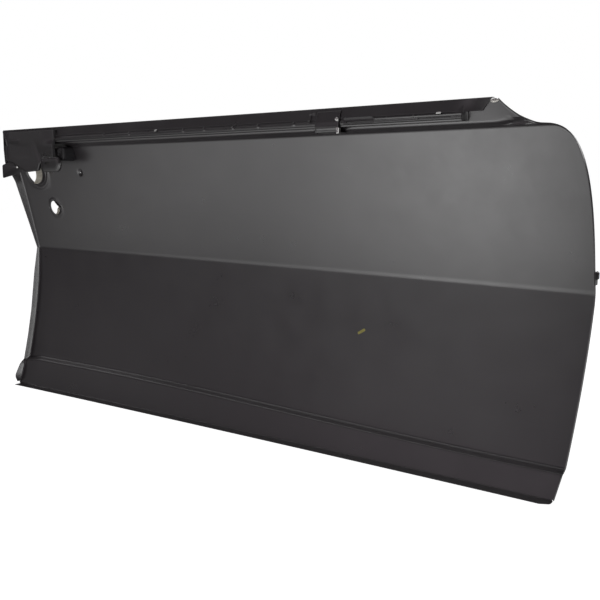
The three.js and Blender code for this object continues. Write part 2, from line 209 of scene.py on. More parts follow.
def rounded(corners, steps=5):
    """A loop or line through corners given as (a, b, radius), each corner replaced by a curve."""
    made = []
    count = len(corners)
    for k, (a, b, radius) in enumerate(corners):
        here = np.array([a, b], float)
        before = np.array(corners[k - 1][:2], float)
        after = np.array(corners[(k + 1) % count][:2], float)
        if radius == 0:
            made.append(tuple(here))
            continue
        into = here + (before - here) * radius / np.linalg.norm(before - here)
        away = here + (after - here) * radius / np.linalg.norm(after - here)
        made += [tuple(p) for p in bezier([into, here, away], steps)]
    return made


def box_outline(x0, z0, x1, z1, radius):
    return rounded([(x0, z0, radius), (x1, z0, radius), (x1, z1, radius), (x0, z1, radius)])


def circle(x, z, radius, count=28):
    turn = 2 * pi / count
    return [(x + radius * cos(k * turn), z + radius * sin(k * turn)) for k in range(count)]


def dense(line, step):
    """The same line with points no further apart than step."""
    made = [tuple(line[0])]
    for start, end in zip(line, line[1:]):
        count = max(1, ceil(dist(start, end) / step))
        span = np.array(end) - np.array(start)
        made += [tuple(np.array(start) + span * k / count) for k in range(1, count + 1)]
    return made


def lattice(name, rows, sharp=35):
    """A surface through rows of points; its front is on the left of a row, seen with the rows going up."""
    width = len(rows[0])
    points = [point for row in rows for point in row]
    corners = [j * width + i for j in range(len(rows) - 1) for i in range(width - 1)]
    faces = [(a, a + 1, a + width + 1, a + width) for a in corners]
    return new_object(name, points, faces, sharp)


def ring_faces(rings, count):
    """The faces between rings of this many points each."""
    faces = []
    for k in range(rings - 1):
        for i in range(count):
            a, b = k * count + i, k * count + (i + 1) % count
            faces.append((a, b, b + count, a + count))
    return faces


def shell(name, outline, spine, rings):
    """A pressed cup: rings shrink from the outline towards the spine, given as (share of the way out, y)."""
    a, b = (np.array(p, float) for p in spine)
    along = (b - a) / np.linalg.norm(b - a)
    points = []
    for share, y in rings:
        for p in outline:
            reach = np.clip((np.array(p) - a) @ along, 0, np.linalg.norm(b - a))
            foot = a + along * reach
            x, z = foot + (np.array(p) - foot) * share
            points.append((x, y(x, z) if callable(y) else y, z))
    faces = ring_faces(len(rings), len(outline))
    faces.append(tuple(range(len(points) - len(outline), len(points))))
    return new_object(name, points, faces, SOFT_SHARP)


def lathe(name, x, z, profile, count=32):
    """A turned piece on an axis along y, from its profile of (radius, y), closed flat at both ends."""
    points = []
    for radius, y in profile:
        points += [(a, y, b) for a, b in circle(x, z, radius, count)]
    faces = ring_faces(len(profile), count)
    faces.append(tuple(range(count))[::-1])
    faces.append(tuple(range(len(points) - count, len(points))))
    return new_object(name, points, faces)


def together(name, *pieces):
    """One object from several."""
    whole = bmesh.new()
    for piece in pieces:
        whole.from_mesh(piece.data)
    mesh = bpy.data.meshes.new(name)
    whole.to_mesh(mesh)
    whole.free()
    for piece in pieces:
        bpy.data.objects.remove(piece)
    made = placed(name, mesh)
    shade(made, 35)
    return made


def finish_piece(piece, material, slot, *nodes):
    """Gives a piece its material and its place on the root body, where it stands in for these nodes."""
    piece.data.materials.clear()
    piece.data.materials.append(material)
    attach(piece, "root")
    if nodes:
        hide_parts(*nodes)


# ---- the skin's form
def section_table():
    """(y, z) of the panel's section, upwards, with sharp bends."""
    lower = bezier([LEDGE["high"], (72.4, 211), (CREASE["y"], CREASE["z"])], 60)
    upper = bezier([(CREASE["y"], CREASE["z"]), (50.5, 470), (13, SHOULDER_Z)], 60)
    belt = [(-0.5, 599.5), BELT_FOOT, BELT_HEAD]
    return np.vstack([[(0, 0), LEDGE["low"]], lower, upper[1:], belt])


SECTION = section_table()
# Half the width over which each bend is rounded, along the section.
BEND_AT = [0, 20, 58, 62, 68, 74, 320, 346, 372, 590, 596, 602, 606]
BEND_HALF = [2.2, 2.2, 2.4, 2.4, 2.4, 2.4, 4.5, 4.5, 4.5, 2.4, 2.0, 1.6, 1.6]


def section(s):
    """(y, z) at s: the height above the bottom flange or, below zero, the way in along that flange."""
    s = np.asarray(s, float)
    half = np.interp(s, BEND_AT, BEND_HALF)
    ys, zs = [], []
    for k in np.linspace(-1, 1, 9):
        at = s + k * half
        ys.append(np.where(at < 0, at, np.interp(at, SECTION[:, 1], SECTION[:, 0])))
        zs.append(np.maximum(at, 0))
    return np.mean(ys, axis=0), np.mean(zs, axis=0)


def crown(x):
    """How far the panel bows outboard along its length."""
    return CROWN * (1 - (2 * np.asarray(x, float) / LENGTH - 1) ** 2)


def fall(x, z):
    """How far the crease and the sill step fall towards the front; the step drops at its rear end as well."""
    x = np.asarray(x, float)
    crease = CREASE["fall"] * (np.maximum(x, 0) / LENGTH) ** 1.5
    ledge = LEDGE["fall"] * smooth(*LEDGE["falls"], x)
    drop = LEDGE["drop"] * (1 - smooth(0, LEDGE["drop_end"], x))
    above = hat(z, LEDGE_MID, CREASE["z"], SHOULDER_Z)
    return crease * above + (ledge + drop) * hat(z, 0, LEDGE_MID, CREASE["z"])


def below_fold(x, s):
    """The section height used at s: towards the front peak the belt flange's fold lies higher."""
    rise = FOLD_RISE["height"] * smooth(FOLD_RISE["from"], FOLD_RISE["to"], x)
    return np.where(s > SHOULDER_Z + 2, np.maximum(s - rise, SHOULDER_Z + 2), s)


def waviness(x, s):
    """The slight unevenness of a large pressed sheet."""
    slow = 0.22 * np.sin(x / 173 + 1.3) * np.sin(s / 88 + 0.5)
    quick = 0.06 * np.sin(x / 57 + s / 71 + 2.0)
    return (slow + quick) * hat(s, 75, 200, 590)


def form(flat):
    """Door coordinates of points given as (x, s, inboard offset)."""
    x, s, inboard = np.array(flat, float).T
    y, _ = section(below_fold(x, s))
    _, z = section(s)
    inboard = inboard + waviness(x, s)
    return np.stack([x, y + crown(x) - inboard, z - fall(x, z)], axis=1)


def surface_y(x, z):
    """The skin's inner face at this place."""
    return float(form([(x, z, 0)])[0][1])


# ---- the skin's outline
FRONT_LEAN = 29.5        # the foot of the front edge lies this far behind its upright part


def front_table():
    """(x, z) of the front edge, upwards: leaning forward, upright, round the corner and up to the peak."""
    front = LENGTH
    lean = bezier([(front - FRONT_LEAN, -20), (front - 8, 180), (front, 330)], 40)
    corner = bezier([(front, 410), (front, 561), (front - 22, 597.6), (front - 76, 597.5)], 60)
    peak = bezier([(front - 76, 597.6), (front - 103, 601), (front - 136, 632), (front - 140, 638)], 40)
    return np.vstack([lean, corner, peak[1:]])


FRONT = front_table()


def front_edge(z):
    """(x, z) on the front edge, and its normal pointing off the panel."""
    z = np.asarray(z, float)
    x = np.interp(z, FRONT[:, 1], FRONT[:, 0])
    ahead = np.interp(z + 0.4, FRONT[:, 1], FRONT[:, 0])
    behind = np.interp(z - 0.4, FRONT[:, 1], FRONT[:, 0])
    slope = (ahead - behind) / 0.8
    length = np.hypot(slope, 1)
    return x, 1 / length, -slope / length


EDGE_RADIUS = 2.5
BEND_IN = SHEET + EDGE_RADIUS      # the turned edges' bends start this far in from the outline
EDGE_START = 3        # the turned edges start at this height
BEVELLED_ABOVE = 20   # below this height the front edge's slope is left out of its bend
OPENED = 0.32         # the turned rear edge leans out by this much for each millimetre of its depth
LEAN_LIMIT = 5.5
# The bottom flange: its width, how far its two ends are cut back at the rim, and how steeply.
FLANGE = {"width": 22.5, "front_cut": 46, "front_slant": 51 / 26.5, "rear_cut": 15, "rear_slant": 2.1}
# The inboard rim of the turned rear edge, as (z, y).
REAR_RIM = [(0, -9), (24, -9), (54, 6), (66, 19), (128, 35), (190, 48), (283, 62), (345, 74.5), (408, 54),
            (470, 33), (515, 18), (560, -8.5), (594, -10.5), (640, -10.5)]
LEAST_DEPTH = 3.2


def rear_depth(s):
    """How far the rear edge is turned in."""
    heights, ys = zip(*REAR_RIM)
    y, _ = section(s)
    return np.maximum(y - np.interp(s, heights, ys), LEAST_DEPTH)


def front_depth(s):
    """How far the front edge is turned in: like the rear edge, and less round the upper corner."""
    return np.minimum(rear_depth(s), np.interp(s, [560, 590], [11, 3.6]))


ROWS = stepped((-22, 4), (-4, 1.1), (4, 6), (58, 1), (72, 8), (336, 2.5), (341, 1), (352, 6), (420, 5),
               (588, 1.2), (606, 4), (BELT_TOP, 1))
MIDDLE_COLUMNS = stepped((16, 5), (142, 7), (216, 5), (258, 11), (1215, 1))
REAR_SHARE = np.linspace(0, 1, 5)[:-1]
FRONT_SHARE = np.sin(np.linspace(0, pi / 2, 27)[1:])

# Each hole: centre, half the window left open for it in the grid, rings of (radius, inboard offset), and how
# far its front side is turned inboard. The lock hole's flat lies this far from its centre.
HANDLE_HOLE = {"x": 71, "z": 541, "half": 50, "collar": 4,
               "rings": [(48, 0), (46, 0.5), (44.6, 1.6), (43, 2.1), (39, 2.1), (37.4, 1.6), (36.2, 0.6),
                         (35, 0.4), (34, 1.0), (33.3, 2.4), (33, 4.6)]}
LOCK_HOLE = {"x": 109.5, "z": 450, "half": 28, "collar": 1.5, "flat": 14,
             "rings": [(26, 0), (24.4, 0.3), (23, 1.1), (21, 1.3), (19.6, 1.0), (18.6, 1.0), (18, 1.6),
                       (17.8, 2.8)]}
STUD_HOLE = {"x": 231, "z": 535, "half": 15, "collar": 0,
             "rings": [(12, 0), (9, 0), (7.6, -0.6), (5.8, -2.2), (4.4, -2.8), (3.0, -2.8), (2.6, -2.2),
                       (2.4, -1.2)]}
HOLES = (HANDLE_HOLE, LOCK_HOLE, STUD_HOLE)
WINDOWS_BELOW = 588      # no hole's window reaches higher than this, into the shoulder's bend


def hole_radius(hole, radius, angle):
    """The rim's radius in a direction: round, or with one flat, up and to the front."""
    if "flat" not in hole:
        return radius
    reach = hole["flat"] + radius - hole["rings"][-2][0]
    turn = cos(angle - pi / 4)
    return min(radius, reach / turn) if turn > 0 else radius


def vertex(flat, x, s, inboard=0.0):
    """Adds a point to the skin's flat coordinates and returns its number."""
    flat.append((x, s, inboard))
    return len(flat) - 1


def row_ends(s):
    """The x of a row's rear end and the (x, s) of its front end, where the turned edges' bends start."""
    if s < 0:
        rear = min(BEND_IN - FLANGE["rear_slant"] * s, FLANGE["rear_cut"])
        slanted = LENGTH - FLANGE["front_cut"] + FLANGE["front_slant"] * (s + FLANGE["width"])
        return rear, (min(LENGTH - FRONT_LEAN, slanted), s)
    lean = min(OPENED * rear_depth(s), LEAN_LIMIT) * smooth(0, 10, s)
    x, normal_x, normal_z = front_edge(s)
    return BEND_IN + lean, (x - BEND_IN * normal_x, s - BEND_IN * normal_z * (s > BEVELLED_ABOVE))


def skin_grid(flat):
    """The main grid, as rows of vertex numbers whose first and last columns lie on the row's own ends."""
    first, last = MIDDLE_COLUMNS[0], MIDDLE_COLUMNS[-1]
    grid = []
    for s in ROWS:
        rear, tip = row_ends(s)
        row = [vertex(flat, rear + (first - rear) * t, s) for t in REAR_SHARE]
        row += [vertex(flat, x, s) for x in MIDDLE_COLUMNS]
        row += [vertex(flat, last + (tip[0] - last) * t, s + (tip[1] - s) * t) for t in FRONT_SHARE]
        grid.append(row)
    return grid


def hole_window(flat, grid, hole):
    """The grid's columns i0 to i1 and rows j0 to j1 that are left out for a hole."""
    columns = np.array([flat[v][0] for v in grid[len(ROWS) // 2]])
    i0, i1 = (int(np.abs(columns - (hole["x"] + side * hole["half"])).argmin()) for side in (-1, 1))
    top = min(hole["z"] + hole["half"], WINDOWS_BELOW)
    j0, j1 = (int(np.abs(ROWS - z).argmin()) for z in (hole["z"] - hole["half"], top))
    return i0, i1, j0, j1


def grid_faces(grid, windows):
    """The grid's faces outside every window."""
    faces = []
    for j in range(len(grid) - 1):
        for i in range(len(grid[0]) - 1):
            if not any(i0 <= i < i1 and j0 <= j < j1 for i0, i1, j0, j1 in windows):
                faces.append((grid[j][i], grid[j][i + 1], grid[j + 1][i + 1], grid[j + 1][i]))
    return faces


def hole_rings(hole):
    """The hole's rings from its window inwards: one halfway, its own, and the end of its collar."""
    rings = [(None, 0)] + hole["rings"]
    if hole["collar"]:
        radius, inboard = hole["rings"][-1]
        rings.append((radius, inboard + hole["collar"]))
    return rings


def hole_faces(flat, grid, hole, window):
    """The faces between a hole's window and its rim."""
    i0, i1, j0, j1 = window
    border = [grid[j0][i] for i in range(i0, i1)] + [grid[j][i1] for j in range(j0, j1)]
    border += [grid[j1][i] for i in range(i1, i0, -1)] + [grid[j][i0] for j in range(j1, j0, -1)]
    angles = [atan2(flat[v][1] - hole["z"], flat[v][0] - hole["x"]) for v in border]
    first = hole["rings"][0][0]
    rings = hole_rings(hole)
    faces = []
    ring = border
    for k, (radius, offset) in enumerate(rings):
        below = ring
        ring = []
        for v, angle in zip(border, angles):
            inboard = offset
            if hole["collar"] and k == len(rings) - 1:
                inboard -= hole["collar"] * (1 - smooth(-0.1, 0.5, cos(angle + 0.2))) - 0.2
            if radius is None:
                reach = (hypot(flat[v][0] - hole["x"], flat[v][1] - hole["z"]) + first) / 2
            else:
                reach = hole_radius(hole, radius, angle)
            x = hole["x"] + reach * cos(angle)
            ring.append(vertex(flat, x, hole["z"] + reach * sin(angle), inboard))
        count = len(ring)
        faces += [(below[k], below[(k + 1) % count], ring[(k + 1) % count], ring[k]) for k in range(count)]
    return faces


def turned_edge(flat, grid, at_front):
    """The faces of the front or rear edge: a bend of a quarter circle, then flat inboard to the rim."""
    strips = []
    for s, row in zip(ROWS, grid):
        if s < EDGE_START:
            continue
        depth = (front_depth if at_front else rear_depth)(s)
        depth *= np.interp(s, [EDGE_START, 14], [0.55, 1])
        x, normal_x, normal_z = front_edge(s) if at_front else (0, -1, 0)
        strip = [row[-1 if at_front else 0]]
        reach = flat[strip[0]][0] - BEND_IN
        for away, inboard in quarter_bend(EDGE_RADIUS, 5) + [(0, (EDGE_RADIUS + depth) / 2), (0, depth)]:
            step = SHEET + away
            drop = normal_z * step * (s > BEVELLED_ABOVE)
            lean = 0 if at_front else reach * (1 - inboard / depth)
            strip.append(vertex(flat, x - step * normal_x + lean, s - drop, inboard))
        strips.append(strip)
    faces = []
    for low, high in zip(strips, strips[1:]):
        for k in range(len(low) - 1):
            quad = (low[k], low[k + 1], high[k + 1], high[k])
            faces.append(quad if at_front else quad[::-1])
    return faces


def door_skin(material):
    """The pressed outer panel, as one sheet."""
    flat = []
    grid = skin_grid(flat)
    windows = [hole_window(flat, grid, hole) for hole in HOLES]
    faces = grid_faces(grid, windows)
    for hole, window in zip(HOLES, windows):
        faces += hole_faces(flat, grid, hole, window)
    for at_front in (False, True):
        faces += turned_edge(flat, grid, at_front)
    piece = thicken(new_object("door_panel", form(flat), faces), SHEET)
    finish_piece(piece, material, "panel_coat", "door_skin")


def hole_lip(name, hole, depth, first, last, material):
    """The pale sheet of a hole's rim, turned inboard by depth, from first to last in degrees above the
    forward direction, and tapered to nothing at both."""
    radius = hole["rings"][-1][0] - 0.6
    start = hole["rings"][-1][1] + hole["collar"] - 1.5
    taper_length = 30
    rows = []
    for share in np.linspace(0, 1, 9):
        row = []
        for degrees in np.linspace(first, last, 51):
            taper = smooth(first, first + taper_length, degrees)
            taper *= 1 - smooth(last - taper_length, last, degrees)
            angle = radians(degrees)
            reach = hole_radius(hole, radius, angle)
            x = hole["x"] + reach * cos(angle)
            z = hole["z"] + reach * sin(angle)
            row.append((x, surface_y(x, z) - start - share * (1 + (depth - 1) * taper), z))
        rows.append(row)
    piece = thicken(lattice(name, rows), 0.8)
    finish_piece(piece, material, "panel_coat")


# ---- belt line
# The small pressed stiffeners across the channel's bend, and the stations that each one needs.
DARTS = (375, 455, 613, 670, 745, 807, 891, 1086, 1137)
DART_STATIONS = (-6, -4, -2.8, -1.8, -0.9, 0, 0.9, 1.8, 2.8, 4, 6)
DART = {"depth": 2.2, "width": 2.2, "low": 610.5, "middle": 615.5, "high": 622}
PLATE = {"top": 640, "height": 21, "rear_slant": 13, "front_slant": 18, "closes": (1205, 1255)}


def channel_columns():
    """Stations along the channel, closer together at each dart and at the two ends."""
    first, last = CHANNEL_START, CHANNEL_END - 4
    stations = set(np.round(stepped((first, 1.5), (first + 15, 9), (last - 15, 1.5), (last, 1)), 3))
    for dart in DARTS:
        stations |= {dart + away for away in DART_STATIONS if first < dart + away < last}
    return sorted(stations)


def belt_plate(material):
    """The closing plate of the belt line: it leans back and turns outboard along its top."""
    line = dense(rounded([(-18.9, 618.9, 0), (-10.3, 639.4, 0.9), (-3, 639.6, 0)]), 3)
    rows = []
    for y, z in line:
        lean = (PLATE["top"] - z) / PLATE["height"]
        first = 0.6 + PLATE["rear_slant"] * lean
        last = PLATE_END - PLATE["front_slant"] * lean
        row = []
        for x in first + (last - first) * np.linspace(0, 1, 131):
            ripple = 0.12 * sin(x / 31) * sin(x / 83 + 1) * min(1, lean * 2)
            closing = 10.5 * min(lean, 1) * smooth(*PLATE["closes"], x)
            row.append((x, y + crown(x) + ripple + closing, z))
        rows.append(row)
    piece = thicken(lattice("belt_plate_sheet", rows), SHEET)
    finish_piece(piece, material, "bracket_coat", "belt_plate")


def channel_line():
    """The channel in section, from its foot on the skin round the rolled lip and up the web."""
    corners = [(-4.4, 604.2, 0), (-20.0, 604.2, 0.7), (-21.0, 606.7, 0.25), (-19.2, 606.9, 0.2),
               (-19.2, 608.0, 0.2), (-20.3, 608.3, 0.2), (-20.9, 612.6, 1.0), (-19.2, 615.4, 1),
               (-11.8, 632.2, 0)]
    return dense(rounded(corners), 1.9)


def belt_channel(material):
    """The lower belt reinforcement: darts across its bend, a flared rear end and a closed front end."""
    rows = []
    for y, z in channel_line():
        across = hat(z, DART["low"], DART["middle"], DART["high"])
        spread_out = height_at(z, [(603, 6), (610, 4), (616, 0)])
        flange = height_at(z, [BELT_FOOT[::-1], BELT_HEAD[::-1]]) - 1.4
        row = []
        for x in channel_columns():
            press = sum(exp(-((x - dart) / DART["width"]) ** 2) for dart in DARTS if abs(x - dart) < 12)
            flare = (1 - smooth(CHANNEL_START, CHANNEL_START + 8, x)) * spread_out
            closing = max(flange - y, 0) * smooth(CHANNEL_END - 9, CHANNEL_END - 4, x)
            row.append((x, y + crown(x) - DART["depth"] * press * across + closing, z + flare))
        rows.append(row)
    piece = thicken(lattice("belt_channel_sheet", rows), SHEET)
    finish_piece(piece, material, "bracket_coat", "belt_channel")


STRIP = {"start": GUIDE_X + 34, "step": 1060, "low": 608.6, "high": 619.4, "low_top": 615.4,
         "slots": [(1006, 609.8, 1057, 613.2), (1146, 609.8, 1206, 612.4)]}


def belt_guide_strip(material):
    """The strip welded over the front of the channel; it steps down once and has two slots."""
    line = dense(rounded([(-22.2, 608.2, 0), (-22.5, 611.6, 1), (-20.7, 615.2, 0.8), (-21.2, 619.4, 0)]), 1.2)
    start, step, low = STRIP["start"], STRIP["step"], STRIP["low"]
    # Past the step the section is squeezed down to the lower top edge, and stands a little prouder.
    squeeze = (STRIP["low_top"] - low) / (STRIP["high"] - low)
    columns = stepped((start, 1.2), (start + 6, 6), (step - 5, 1), (step + 5, 6), (CHANNEL_END - 9, 1))
    rows = []
    for y, z in line:
        row = []
        for x in columns:
            past = smooth(step - 4, step + 4, x)
            row.append((x, y + crown(x) - 0.5 * past, z + past * ((z - low) * squeeze + low - z)))
        rows.append(row)
    piece = thicken(lattice("belt_guide_strip_sheet", rows), SHEET)
    pierce(piece, *[box_outline(*slot, 1.3) for slot in STRIP["slots"]])
    finish_piece(piece, material, "bracket_coat", "belt_guide_strip")


# ---- rear corner
BRACKET = {"y": -26.6, "front": 208, "foot": -7.6, "bend": 3.0, "turn": 6.5,
           "low": [(0, 568), (26, 561), (52, 559), (104, 536), (152, 539), (160, 556), (170, 569)],
           "high": [(0, 601), (24, 604), (34, 632)]}


def bracket_height(x, z):
    """The handle reinforcement's y: a foot at the rear, a raised web, a step beside the cup."""
    y = BRACKET["y"] + 20 * (1 - smooth(7, 46, x))
    step = smooth(0, 9, x - 143 - (587 - z) * 0.42) * (1 - smooth(556, 618, z))
    ridge = exp(-((z - 611) / 4) ** 2) * (smooth(38, 50, x) - smooth(78, 92, x))
    pad = (smooth(60, 76, x) - smooth(116, 132, x)) * (smooth(566, 576, z) - smooth(596, 606, z))
    blend = 6 * smooth(164, 212, x) * smooth(596, 612, z)
    return y + 3.2 * step - 1.4 * ridge + 0.5 * pad + blend


def handle_reinforcement(material):
    """The sheet behind the door handle, with its lower edge and its front end turned outboard."""
    front, radius = BRACKET["front"], BRACKET["bend"]
    # Columns are (x, turn outboard). The stations stop short of the front end, which has two of its own.
    stations = stepped((1.6, 2.5), (50, 4), (132, 2), (164, 4), (front - 3, 1))[:-1]
    columns = [(x, 0) for x in stations] + [(front, 0), (front, BRACKET["turn"])]
    # Rows are (kind, amount, turn outboard): an amount up from the low edge or down from the high edge, or a
    # share of the way between the two.
    rows = [("low", 0, 7.0)] + [("low", away, turn) for away, turn in quarter_bend(radius, 4)[::-1]]
    rows += [("share", share, 0) for share in np.linspace(0, 1, 30)]
    rows += [("high", 0, 0), ("high", 0, 12)]
    made = []
    for kind, amount, turn in rows:
        row = []
        for x, side in columns:
            low = height_at(x, BRACKET["low"])
            high = height_at(x, BRACKET["high"])
            if kind == "share":
                z = low + radius + (high - low - 2 * radius) * amount
            else:
                z = low + amount if kind == "low" else high - amount
            row.append((x, min(bracket_height(x, z) + max(turn, side), BRACKET["foot"]), z))
        made.append(row)
    piece = thicken(lattice("handle_bracket", made), SHEET)
    finish_piece(piece, material, "bracket_coat", "handle_reinforcement")


CUP = {"rear": 160, "front": 230.5, "low": 535.2, "high": 569.8}


def rod_guide_cup(material):
    """A shallow pressed cup with a round front end, a leaning face and one slot."""
    middle = (CUP["low"] + CUP["high"]) / 2
    radius = (CUP["high"] - CUP["low"]) / 2
    nose = [(CUP["front"] - radius + radius * cos(a), middle + radius * sin(a), 0)
            for a in np.radians(np.linspace(-90, 90, 25))]
    outline = rounded([(CUP["rear"], CUP["high"], 9), (CUP["rear"], CUP["low"], 9)] + nose)
    spine = [(CUP["rear"] + 15, middle), (CUP["front"] - radius, middle)]
    rings = [(1, -18), (1, -19.5), (0.995, -21.5), (0.98, -23.0), (0.95, -24.2), (0.90, -25.2), (0.82, -26.1),
             (0.68, -27.0), (0.50, -27.6), (0.30, -27.9), (0.12, -28)]

    def leaning(y):
        """The face leans inboard towards its top."""
        return lambda x, z: y + 0.13 * (CUP["high"] - z) * (-18 - y) / 10

    piece = shell("rod_guide_shell", outline, spine, [(share, leaning(y)) for share, y in rings])
    thicken(piece, SHEET, SOFT_SHARP)
    pierce(piece, box_outline(178, 553, 198, 558.5, 2.6), sharp=SOFT_SHARP)
    finish_piece(piece, material, "bracket_coat", "rod_guide_cup")


def window_stop_buffer(material):
    """A rounded rubber block that fills the space between the skin and its own domed face."""
    outline = rounded([(206, 561, 8), (206, 593.5, 5), (231, 593.5, 7), (231, 561, 10)][::-1])
    spine = [(217, 578), (220, 578)]

    def on_skin(x, z):
        return min(surface_y(x, z) - 0.6, 21)

    rings = [(1, on_skin), (1, -2), (0.995, -7), (0.97, -10), (0.92, -11.6), (0.84, -12.4), (0.66, -12.8),
             (0.40, -12.6), (0.36, -12.0), (0.12, -11.9)]
    piece = shell("window_buffer", outline, spine, rings)
    finish_piece(piece, material, "rubber", "window_stop_buffer")


ARM = {"y": -14, "thick": 1.2,
       "outline": [(-2, 522.5, 5), (46, 530.5, 12), (96, 541, 4), (96, 559, 4), (26, 561, 8), (-2, 555, 5)]}
ARM_RIVET = (58, 549.5)


def latch_side_arm(material):
    """A flat arm that reaches over the rear edge, with a toe turned outboard along its lower front part."""
    plate = prism("arm_plate", rounded(ARM["outline"]), ARM["y"] - ARM["thick"], ARM["y"])
    pierce(plate, circle(*ARM_RIVET, 2.6))
    toe_line = rounded([(-15.2, 548, 0), (-15.2, 543.6, 2.5), (6, 543.6, 0)])[::-1]
    toe = lattice("arm_toe", [[(x, y, z) for x in np.linspace(62, 96, 9)] for y, z in toe_line])
    thicken(toe, SHEET)
    piece = together("latch_arm", plate, toe)
    soften(piece, 0.3)
    finish_piece(piece, material, "bracket_coat", "latch_side_arm")


def arm_rivet(material):
    """A rivet whose domed head stands inboard of the arm."""
    face = ARM["y"] - ARM["thick"] - 0.3
    head, dome, shank = 3.8, 2.2, 2
    cap = [(head * cos(a), face - dome * sin(a)) for a in np.linspace(0.12, 1.45, 9)]
    profile = [(shank, face + 1), (shank, face), (head * 0.96, face)] + cap
    piece = lathe("latch_arm_rivet", *ARM_RIVET, profile[::-1])
    finish_piece(piece, material, "zinc", "arm_rivet")


# ---- glass guide
GUIDE = {"rear": GUIDE_X - 26, "front": GUIDE_X + 24.5, "y": -24.4, "low": 594.5, "high": 634}
GUIDE_BOLT = (GUIDE_X + 20.5, 618)


def glass_guide_bracket(material):
    """A hat-shaped bracket that bridges the belt channel, with its rear edge turned outboard and a lip."""
    y, low, high = GUIDE["y"], GUIDE["low"], GUIDE["high"]
    corners = [(6.5, low + 0.2, 0), (-18, low + 0.2, 5), (y + 0.6, low + 5, 5), (y, high - 24, 6),
               (-15.5, high - 1, 1), (-13.6, high, 0)]
    line = dense(rounded(corners), 2.2)
    radius = 2.4
    columns = [(GUIDE["rear"] + away, turn) for away, turn in [(0, 5.5)] + quarter_bend(radius, 4)[::-1]]
    columns += [(x, 0) for x in np.linspace(GUIDE["rear"] + radius, GUIDE["front"], 14)]
    bow = crown(GUIDE_X)
    rows = []
    for k, (a, b) in enumerate(line):
        tangent = np.array(line[min(k + 1, len(line) - 1)]) - np.array(line[max(k - 1, 0)])
        inward = np.array([tangent[1], -tangent[0]]) / np.linalg.norm(tangent)
        row = []
        for x, turn in columns:
            turn = min(turn, 0.8) if b < low + 3 or b > high - 3 else turn
            row.append((x, a + inward[0] * turn + bow, b + inward[1] * turn))
        rows.append(row)
    piece = thicken(lattice("guide_bracket", rows), SHEET)
    lip_outline = box_outline(GUIDE["rear"] - 5, 626, GUIDE["rear"] + 1.5, 632, 1.6)
    lip = prism("guide_lip", lip_outline, y + bow + 0.5, y + bow + 1.7)
    pierce(piece, circle(*GUIDE_BOLT, 2.5))
    piece = together("guide_bracket", piece, lip)
    finish_piece(piece, material, "bracket_coat", "glass_guide_bracket")


def glass_guide_bolt(material):
    """A hexagon head on a rounded flange, which stands just inboard of the leaning web of the bracket."""
    seat = GUIDE["y"] + 3.0 + crown(GUIDE_X) - 0.3
    # The flange's profile as (radius, inboard of the seat).
    flange = [(2, -4.4), (2, 0), (3.1, 0), (3.3, 0.3), (3.2, 0.8), (2.6, 1.3)]
    washer = lathe("bolt_washer", *GUIDE_BOLT, [(radius, seat - inboard) for radius, inboard in flange[::-1]])
    x, z = GUIDE_BOLT
    hexagon = [(x + 2.5 * cos(a), z + 2.5 * sin(a)) for a in np.radians(np.arange(15, 375, 60))]
    head = prism("bolt_head", hexagon, seat - 4.4, seat - 1.2)
    soften(head, 0.5, 3)
    piece = together("guide_bolt", washer, head)
    finish_piece(piece, material, "zinc", "glass_guide_bolt")


def glass_guide_clip(material):
    """A spring clip with a bulged face, hooked over the bracket's front edge."""
    x, y = GUIDE["front"] + 0.4, GUIDE["y"] + crown(GUIDE_X) - 0.4
    line = rounded([(x - 5, y, 0), (x - 3.4, y - 1.2, 1.2), (x + 1.2, y - 0.8, 1.2), (x + 1.4, y + 6, 0)])
    rows = [[(a, b, z) for z in np.linspace(603.3, 593.2, 7)] for a, b in line]
    piece = thicken(lattice("guide_clip", rows), 0.9)
    soften(piece, 0.2)
    finish_piece(piece, material, "zinc", "glass_guide_clip")


def seal_clip(place, material, slot, x, width, low, high):
    """A small spring clip on the belt plate: a flat back, a rolled barb below and a curled top."""
    def face(z):
        return -19 + 9 / 21 * (z - 619) - 1.0

    barb = [(face(low) + 0.5, low), (face(low) - 0.9, low + 0.6), (face(low) - 1.5, low + 1.6)]
    back = [(face(z) - 0.35, z) for z in np.linspace(low + 2.8, high - 1, 5)]
    points = barb + back + [(face(high) + 0.2, high)]
    line = rounded([(y, z, 0.3 if k == 1 else 0) for k, (y, z) in enumerate(points)])
    columns = x + width * np.linspace(-0.5, 0.5, 7)
    rows = [[(c, y + crown(c) + 0.35 * ((c - x) / width) ** 2, z) for c in columns] for y, z in line]
    piece = thicken(lattice(f"seal_clip_{place}", rows), 0.6)
    finish_piece(piece, material, slot, f"belt_clip_{place}")


# ---- front edge
def front_locating_tab(material):
    """A flat plate on the turned front edge, with a rounded nose that points forward."""
    x = LENGTH + 1.3
    plate = prism("tab_plate", [(x, 344), (x + 1.5, 344), (x + 1.5, 366), (x, 366)], 56, 76)
    nose_outline = rounded([(x, 352, 0), (x + 4, 353.5, 1.4), (x + 4, 364.5, 1.4), (x, 366, 0)])
    nose = prism("tab_nose", nose_outline, 66, 75.5)
    soften(plate, 0.4)
    soften(nose, 0.5)
    piece = together("locating_tab", plate, nose)
    finish_piece(piece, material, "bracket_coat", "front_locating_tab")


